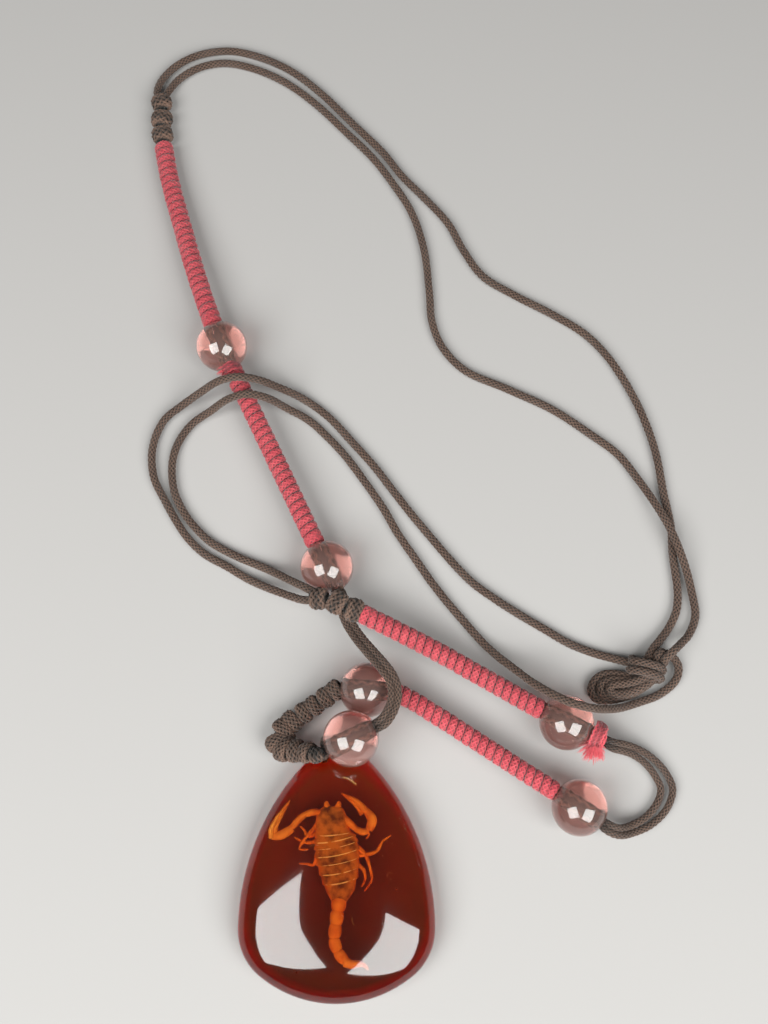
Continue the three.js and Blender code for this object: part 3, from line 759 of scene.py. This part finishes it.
def makeLaidCord(name, node, routes, material):
    lines = [smoothLine(points, darkBraid["step"]) for points in routes]
    tubes = [tube for line in lines for tube in yarnTubes(line, upsOf(line), darkBraid)]
    mesh = braidedMesh(name, tubes, darkBraid, np.concatenate(lines))
    newPiece(name, mesh, material, "dark_cord", node)


# The adjusting knot and its folded bight
slidingKnot = {
    "outerBight": [
        (57.8, 34, 2.4), (55.3, 34, 2), (53.1, 34.6, 1.6), (50.9, 35.1, 1.2), (48.9, 34.9, 0.9),
        (47.3, 33.6, 0.9), (46.8, 31.9, 0.9), (47.7, 30.4, 0.9), (49.8, 30.2, 0.9), (52.2, 30.6, 1),
        (54.9, 31.7, 1.4), (57.1, 33.1, 2), (58.4, 34.5, 2.6),
    ],
    "middleBight": [
        (57.7, 34.5, 3), (55.1, 33.8, 2.6), (52.5, 33.8, 2.2), (50.1, 33.9, 1.8), (48.5, 32.9, 1.6),
        (48.4, 31.6, 1.6), (49.7, 30.8, 1.6), (51.9, 30.9, 1.7), (54.5, 31.7, 2), (57, 33, 2.5),
        (58.5, 34.5, 2.9),
    ],
    "innerBight": [
        (57.5, 34.6, 3.5), (55.3, 33.7, 3.2), (52.7, 33.1, 2.9), (50.7, 32.9, 2.6), (49.8, 32.2, 2.4),
        (50.5, 31.4, 2.3), (52.3, 31.3, 2.4), (54.6, 31.9, 2.6), (56.6, 33, 2.9), (58.2, 34.4, 3.2),
    ],
    "tuckedEnd": [(51.5, 32.3, 1.4), (53.7, 32.5, 1.6), (55.9, 33.3, 2), (57.8, 34.4, 2.5)],
    "wrapping": [
        (54.6, 38, 1.4), (54.3, 37.2, 3.2), (55.2, 36.9, 4.6), (56.8, 36.5, 5), (58.6, 36, 4.5),
        (59.8, 35.5, 3), (59.2, 35.3, 1.2), (56.8, 35.8, 0.9), (54.4, 36, 1.5), (53.7, 35.6, 3.2),
        (54.6, 35.3, 4.6), (56.4, 34.9, 5), (58.2, 34.4, 4.6), (59.4, 34, 3), (58.8, 33.9, 1.4),
    ],
    "loop": [(58.6, 36.4, 3), (58.9, 38.2, 3.2), (60, 38.9, 2.8), (60.7, 37.9, 2.2), (60, 36.6, 2)],
}


# Rings of points drawn out one after another into a closed skin
def drawnOut(shape, rings):
    made = bmesh.ops.create_circle(shape, cap_ends=False, segments=len(rings[0]), radius=mm)
    verts = made["verts"]
    for vert, point in zip(verts, rings[0]):
        vert.co = point
    allVerts = [verts]
    edges = list({edge for vert in verts for edge in vert.link_edges})
    for ring in rings[1:]:
        grown = bmesh.ops.extrude_edge_only(shape, edges=edges)["geom"]
        fresh = {item for item in grown if isinstance(item, bmesh.types.BMVert)}
        edges = [item for item in grown
                 if isinstance(item, bmesh.types.BMEdge) and fresh.issuperset(item.verts)]
        linked = {}
        for vert in fresh:
            others = (edge.other_vert(vert) for edge in vert.link_edges)
            linked[next(other for other in others if other not in fresh)] = vert
        verts = [linked[vert] for vert in verts]
        for vert, point in zip(verts, ring):
            vert.co = point
        allVerts.append(verts)
    for end in (allVerts[0], verts):
        bmesh.ops.contextual_create(shape, geom=end)
    return allVerts


# The drop of amber, in millimetres
drop = {"width": 34.6, "length": 44.0, "height": 9.0, "widestY": -9.5, "sideRadius": 41.0,
        "cornerRadius": 10.0, "girdle": 3.0, "middleY": -4.0, "farthest": 40.0, "halvings": 40,
        "around": 144, "domeRings": 22, "domePower": 2.4, "backRings": 8, "backShare": 0.9,
        "backSteps": (0.45, 0.7, 0.76, 0.8, 0.84, 0.88)}
dropBore = {"radius": 1.0 * mm, "sides": 16, "step": 0.5 * mm, "sharpFrom": math.radians(35)}
bubbles = {"count": 14, "x": (-11, 11), "y": (-17, 8), "z": (3.5, 6.5), "radius": (0.08, 0.2)}


def dropReach(angle):
    # how far the outline is from the middle in one direction, by halving
    across, upward = math.cos(angle), math.sin(angle)
    near, far = 0.0, drop["farthest"]
    for _ in range(drop["halvings"]):
        middle = (near + far) / 2
        if insideDrop(abs(middle * across), drop["middleY"] + middle * upward):
            near = middle
        else:
            far = middle
    return near


def insideDrop(x, y):
    # six arcs that run into each other, the same on both sides
    half, widest = drop["length"] / 2, drop["widestY"]
    side, corner = drop["sideRadius"], drop["cornerRadius"]
    cornerX = drop["width"] / 2 - corner
    sideX = drop["width"] / 2 - side
    toTip, toFoot = half - widest, half + widest
    tip = (side ** 2 - sideX ** 2 - toTip ** 2) / (2 * (side - toTip))
    foot = (cornerX ** 2 + toFoot ** 2 - corner ** 2) / (2 * (toFoot - corner))
    tipAngle = math.atan2(half - tip - widest, -sideX)
    footAngle = math.atan2(widest - (foot - half), cornerX)
    if y > widest:
        if math.atan2(y - (half - tip), x) > tipAngle:
            return math.hypot(x, y - (half - tip)) < tip
        return math.hypot(x - sideX, y - widest) < side
    if math.atan2(y - (foot - half), x) < footAngle:
        return math.hypot(x, y - (foot - half)) < foot
    return math.hypot(x - cornerX, y - widest) < corner


def dropRings():
    angles = np.linspace(0, 2 * math.pi, drop["around"], endpoint=False)
    reach = [dropReach(angle) for angle in angles]
    def ring(share, height):
        return [Vector((r * share * math.cos(a), drop["middleY"] + r * share * math.sin(a), height)) * mm
                for a, r in zip(angles, reach)]
    rings = [ring(share, 0) for share in drop["backSteps"]]
    for i in range(drop["backRings"] + 1):
        turn = i / drop["backRings"] * math.pi / 2
        share = drop["backShare"] + (1 - drop["backShare"]) * math.sin(turn)
        rings.append(ring(share, drop["girdle"] * (1 - math.cos(turn))))
    for i in range(1, drop["domeRings"]):
        share = math.cos(i / drop["domeRings"] * math.pi / 2)
        rise = math.sqrt(1 - share ** drop["domePower"])
        rings.append(ring(share, drop["girdle"] + (drop["height"] - drop["girdle"]) * rise))
    return rings


def cutBore(piece):
    # the bore that the bail's cord dips through
    line = smoothLine(hitchRoute, dropBore["step"])
    bore = tubesMesh("bore", [(line, dropBore["radius"])], dropBore["sides"])
    cutter = bpy.data.objects.new("bore", bore)
    scene.collection.objects.link(cutter)
    cut = piece.modifiers.new("bore", "BOOLEAN")
    cut.object = cutter
    graph = bpy.context.evaluated_depsgraph_get()
    piece.data = bpy.data.meshes.new_from_object(piece.evaluated_get(graph))
    piece.modifiers.clear()
    bpy.data.objects.remove(cutter)
    piece.data.set_sharp_from_angle(angle=dropBore["sharpFrom"])


def markRim(mesh):
    # each point's share of the way from the middle out to the outline
    shares = []
    for vert in mesh.vertices:
        across, upward = vert.co.x / mm, vert.co.y / mm - drop["middleY"]
        shares.append(math.hypot(across, upward) / dropReach(math.atan2(upward, across)))
    mesh.attributes.new("rim", "FLOAT", "POINT").data.foreach_set("value", shares)


def anywhere(span):
    # a random place, in millimetres
    return [chance.uniform(*span[axis]) for axis in "xyz"]


def makeDrop(material):
    shape = bmesh.new()
    drawnOut(shape, dropRings())
    bmesh.ops.recalc_face_normals(shape, faces=shape.faces)
    for _ in range(bubbles["count"]):
        spot = Matrix.Translation(Vector(anywhere(bubbles)) * mm)
        radius = chance.uniform(*bubbles["radius"]) * mm
        made = bmesh.ops.create_icosphere(shape, subdivisions=2, radius=radius, matrix=spot)
        faces = list({face for vert in made["verts"] for face in vert.link_faces})
        bmesh.ops.reverse_faces(shape, faces=faces)
    mesh = shapeMesh(shape, "amberDrop")
    piece = newPiece("amberDrop", mesh, material, "amber", "amber_front", "amber_back")
    cutBore(piece)
    markRim(piece.data)


# Dust, hairs and a small crack, sealed in near the drop's front
dust = {"count": 60, "x": (-12, 12), "y": (-18, 12), "z": (4.4, 6.4), "size": (0.03, 0.09),
        "stretch": np.array((1.0, 0.4, 0.2))}
hairs = {"count": 9, "x": (-11, 11), "y": (-17, 8), "z": (5, 6.6), "bend": 0.8, "rise": 0.1, "on": 1.6,
         "curl": (0.3, -0.2, 0), "radius": 0.025 * mm}
crack = {"points": [(1.0, 15.9, 5.2), (2.0, 15.6, 5.4), (3.2, 14.7, 5.4)], "radius": 0.16 * mm}
fleckMesh = {"step": 0.2 * mm, "sides": 4}


def makeFlecks(material):
    tubes = [(smoothLine(crack["points"], fleckMesh["step"]), crack["radius"])]
    for _ in range(hairs["count"]):
        at = np.array(anywhere(hairs))
        bend = np.array([*(chance.uniform(-hairs["bend"], hairs["bend"]) for _ in range(2)), hairs["rise"]])
        points = [at, at + bend, at + bend * hairs["on"] + hairs["curl"]]
        tubes.append((smoothLine(points, fleckMesh["step"]), hairs["radius"]))
    for _ in range(dust["count"]):
        at = np.array(anywhere(dust)) * mm
        size = chance.uniform(*dust["size"]) * mm
        tubes.append((np.array([at, at + size * dust["stretch"]]), size))
    newPiece("flecks", tubesMesh("flecks", tubes, fleckMesh["sides"]), material, "amber")


# The scorpion, back up, its head towards the narrow end. Lengths in millimetres, heights from its middle.
scorpion = {
    "height": 5.0, "around": 36, "stations": 96, "slope": 0.2, "arch": 0.35, "leaning": (-5, -3, 5, 7),
    "swell": 0.05, "lip": (0.06, 0.16), "pale": 0.1, "flank": 0.8, "flankShade": 0.8,
    "body": [(-5.0, 0.5, 1.3, 0.8), (-3.8, 0.8, 2.2, 1.0), (-2.0, 0.7, 2.9, 1.15), (0.0, 0.5, 3.4, 1.3),
             (2.6, 0.1, 3.8, 1.4), (5.2, -0.3, 3.5, 1.35), (6.6, -0.7, 3.0, 1.2), (7.9, -0.95, 2.75, 1.15),
             (9.3, -0.95, 2.5, 1.05), (10.4, -0.85, 2.0, 0.8), (10.9, -0.8, 1.4, 0.5)],
    "plates": [-3.7, -2.0, -0.4, 1.2, 2.6, 3.9, 5.0, 6.0],
    "tail": [
        [(0.6, -4.4, 0), (0.2, -7.2, 0.2), (-0.1, -9.4, 0.3), (-0.2, -11.3, 0.3), (0.5, -13.2, 0.2),
         (1.7, -14.6, 0.1)],
    ],
    "sting": [
        [(1.6, -14.6, 0.1), (2.6, -15, 0.2), (3.8, -14.9, 0.1), (4.8, -15.1, -0.1), (5.5, -15.9, -0.3)],
    ],
    "jaws": [
        [(-1.5, 10.6, 0), (-1.8, 11.2, 0), (-1.7, 11.7, -0.1)],
        [(-0.1, 10.6, 0), (0.3, 11.2, 0), (0.2, 11.7, -0.1)],
    ],
    "arms": [
        [(-2.4, 9.8, -0.2), (-4, 9.9, 0.2), (-5.5, 9.5, 0.3)],
        [(-5.4, 9.6, 0.3), (-6.6, 8.6, 0.4), (-7.7, 7.3, 0.5)],
        [(1.2, 9, -0.2), (2.2, 8, 0.3), (3.2, 7.1, 0.4)],
        [(3.1, 7.1, 0.4), (4.3, 6.6, 0.5), (5.4, 6.7, 0.3)],
    ],
    "hands": [
        [(-7.6, 7.2, 0.5), (-9.4, 6.1, 0.4), (-11.3, 5.7, 0.2)],
        [(5.5, 6.8, 0.3), (6, 8.6, 0.3), (4.9, 10.3, 0.2)],
    ],
    "fingers": [
        [(-11.2, 5.6, 0.2), (-11.5, 6.8, 0.3), (-11, 8.1, 0.3), (-10, 9.7, 0.2), (-8.2, 11.9, 0)],
        [(-10.6, 6, 0), (-10.7, 7.2, 0), (-10.2, 8.4, 0), (-9.4, 9.8, 0), (-8.3, 11.6, -0.1)],
        [(5, 10, 0.2), (4.2, 11, 0.2), (3, 12, 0.1), (0.7, 13.1, 0)],
        [(4.4, 9.6, 0), (3.7, 10.6, 0), (2.7, 11.6, 0), (1, 12.8, -0.1)],
    ],
    "legs": [
        [(-2.8, 8.4, -0.4), (-4.2, 6.8, 0.3), (-5.4, 5.4, 0.4), (-6.3, 3.7, 0), (-4.8, 3.6, -0.5)],
        [(-3, 6.4, -0.4), (-5, 5.9, 0.4), (-5.5, 6.8, 0.2), (-6.3, 7.5, -0.3)],
        [(-3.2, 5, -0.4), (-5.4, 4.8, 0.3), (-7.2, 5.6, -0.4)],
        [(-3, 3.4, -0.4), (-4, 1, 0.2), (-4.8, 1.2, 0.2), (-6.3, 1.2, -0.5)],
        [(1.6, 7.9, -0.4), (3.4, 7.1, 0.3), (5.5, 6.3, 0.2), (5, 5.4, -0.4)],
        [(3.2, 2.6, -0.4), (5.3, 2.8, 0.4), (6.9, 3.4, 0.4), (7.9, 5, 0.1), (9.2, 5.9, -0.5)],
        [(3.2, 4.3, -0.4), (5, 2.6, 0.4), (5.7, 0.6, 0.4), (6, -1.4, 0), (4.8, -3.3, -0.6)],
        [(3.2, 1.2, -0.4), (4.5, 0.4, 0.2), (4.9, -1.2, 0), (4.3, -2.6, -0.5)],
    ],
}


def raised(points):
    return [(x, y, z + scorpion["height"]) for x, y, z in points]


def sweptRings(line, radii, around, flat=1.0):
    ups = upsOf(line)
    sides = np.cross(tangentsOf(line), ups)
    turns = np.linspace(0, 2 * math.pi, around, endpoint=False)
    return [[Vector(point + side * radius * math.sin(a) + up * radius * flat * math.cos(a)) for a in turns]
            for point, side, up, radius in zip(line, sides, ups, radii)]


def limbSkin(shape, layers, points, radiusAt, around, step, flat=1.0):
    line = smoothLine(raised(points), step)
    share = lengthsAlong(line) / lengthsAlong(line)[-1]
    for ring in drawnOut(shape, sweptRings(line, [radiusAt(u) * mm for u in share], around, flat)):
        for vert in ring:
            vert[layers["limb"]] = 1.0


def bodySkin(shape, layers):
    # overlapping back plates, each with a pale hind edge, that slope a little across
    table = np.array(scorpion["body"])
    plates = np.array(scorpion["plates"])
    even = np.linspace(table[0, 0], table[-1, 0], scorpion["stations"])
    stations = np.unique(np.concatenate([even, plates, *(plates + lip for lip in scorpion["lip"])]))
    turns = np.linspace(0, 2 * math.pi, scorpion["around"], endpoint=False)
    rings = []
    for y in stations:
        middle, wide, high = (np.interp(y, table[:, 0], table[:, k]) for k in (1, 2, 3))
        onPlate = plates[0] <= y < plates[-1]
        behind = plates[plates <= y][-1] if onPlate else y
        ahead = plates[plates > y][0] if onPlate else y + 1
        swell = 1 + scorpion["swell"] * (1 - 2 * (y - behind) / (ahead - behind)) if onPlate else 1.0
        share = np.interp(y, scorpion["leaning"], [0, 1, 1, 0])
        across = np.sin(turns)
        lean = share * (scorpion["slope"] * wide * across + scorpion["arch"] * across ** 2)
        points = np.column_stack([middle + wide * swell * across, y + lean,
                                  scorpion["height"] + high * swell * np.cos(turns)])
        rings.append([Vector(point) * mm for point in points])
    for ring, y in zip(drawnOut(shape, rings), stations):
        onEdge = np.any((y >= plates[1:]) & (y < plates[1:] + scorpion["pale"]))
        for vert, a in zip(ring, turns):
            past = abs(math.sin(a)) - scorpion["flank"]
            vert[layers["limb"]] = scorpion["flankShade"] * max(0.0, past) / (1 - scorpion["flank"])
            vert[layers["edge"]] = 1.0 if onEdge and past < 0 else 0.0


def jointed(thick, end, joints):
    # a radius along a limb that narrows to its end and is nipped in at its joints
    nip = 0.28
    def radiusAt(u):
        return (thick + (end - thick) * u) * (1 - nip + nip * abs(math.sin(math.pi * joints * u)) ** 0.5)
    return radiusAt


def pointed(thick, power):
    # a radius that runs out to a fine tip
    tip = 0.1
    def radiusAt(u):
        return tip + thick * (1 - u) ** power
    return radiusAt


def plump(thin, swell, power):
    # a radius that swells in the middle, less at the start
    early, late = 0.15, 0.8
    def radiusAt(u):
        return thin + swell * math.sin(math.pi * min(1, early + late * u)) ** power
    return radiusAt


# Each kind of limb: its radius in millimetres along it, and its mesh
limbs = {
    "tail": {"radiusAt": jointed(1.34, 0.95, 5), "around": 18, "step": 0.12 * mm, "flat": 0.85},
    "sting": {"radiusAt": pointed(0.8, 0.7), "around": 14, "step": 0.15 * mm},
    "jaws": {"radiusAt": jointed(0.62, 0.35, 1), "around": 10, "step": 0.15 * mm},
    "arms": {"radiusAt": jointed(0.6, 0.62, 1), "around": 12, "step": 0.15 * mm},
    "hands": {"radiusAt": plump(0.42, 0.42, 0.8), "around": 16, "step": 0.15 * mm, "flat": 0.8},
    "fingers": {"radiusAt": pointed(0.5, 0.8), "around": 10, "step": 0.2 * mm},
    "legs": {"radiusAt": jointed(0.46, 0.14, 4), "around": 8, "step": 0.15 * mm},
}


def makeScorpion(material):
    shape = bmesh.new()
    layers = {name: shape.verts.layers.float.new(name) for name in ("limb", "edge")}
    bodySkin(shape, layers)
    for kind, limb in limbs.items():
        for points in scorpion[kind]:
            limbSkin(shape, layers, points, **limb)
    bmesh.ops.recalc_face_normals(shape, faces=shape.faces)
    newPiece("scorpionSpecimen", shapeMesh(shape, "scorpionSpecimen"), material, "scorpion", "scorpion")


# Floor and light
studio = {"floor": colour(156, 151, 150), "floorRoughness": 0.8, "span": 1.6, "below": 0.12 * mm,
          "sky": (1.0, 0.98, 0.95, 1.0), "skyStrength": 0.1,
          "away": 0.6, "size": (0.48, 0.44), "power": 6.05, "tint": (0.95, 1.0, 0.98)}
# Each softbox by its angle to the side, its tilt towards the viewer and its roll
softboxes = {"leftBox": (-31.5, 24.0, -20.0), "rightBox": (30.0, 34.0, 24.0)}


def makeFloor():
    shape = bmesh.new()
    bmesh.ops.create_grid(shape, x_segments=1, y_segments=1, size=studio["span"],
                          matrix=Matrix.Translation((0, 0, -studio["below"])))
    floor = bpy.data.objects.new("floor", shapeMesh(shape, "floor"))
    scene.collection.objects.link(floor)
    paint = Paint("paleFloor")
    floor.data.materials.append(paint.finish(Base_Color=studio["floor"], Roughness=studio["floorRoughness"]))


def makeLights():
    world = bpy.data.worlds.new("studio")
    world.use_nodes = True
    sky = world.node_tree.nodes["Background"].inputs
    sky["Color"].default_value = studio["sky"]
    sky["Strength"].default_value = studio["skyStrength"]
    scene.world = world
    for name, (angle, tilt, roll) in softboxes.items():
        angle, tilt = math.radians(angle), math.radians(tilt)
        aim = Vector((math.sin(angle), -math.cos(angle) * math.sin(tilt), math.cos(angle) * math.cos(tilt)))
        lamp = bpy.data.lights.new(name, "AREA")
        lamp.shape = "RECTANGLE"
        lamp.size, lamp.size_y = studio["size"]
        lamp.energy = studio["power"]
        lamp.color = studio["tint"]
        box = bpy.data.objects.new(name, lamp)
        place = aim * studio["away"]
        turn = turnedTo(place, Vector()) @ Matrix.Rotation(math.radians(roll), 4, "Z")
        box.matrix_world = Matrix.Translation(place) @ turn
        scene.collection.objects.link(box)


makeCamera()
darkCord = cordMaterial(darkCordLook)
redCord = cordMaterial(redCordLook)
makeStrands(darkCord)
makeTightRuns(darkCord)
makeSnakeKnots(darkCord)
makeLaidCord("hitchTurn", "hitch", [hitchRoute], darkCord)
makeLaidCord("adjustingKnot", "adjusting_knot", slidingKnot.values(), darkCord)
makeWraps(redCord)
makeRedTails(redCord)
makeBeads(beadMaterial(beadLook))
makeDrop(amberMaterial(amberLook))
makeFlecks(fleckMaterial(fleckLook))
makeScorpion(shellMaterial(shellLook))
makeFloor()
makeLights()
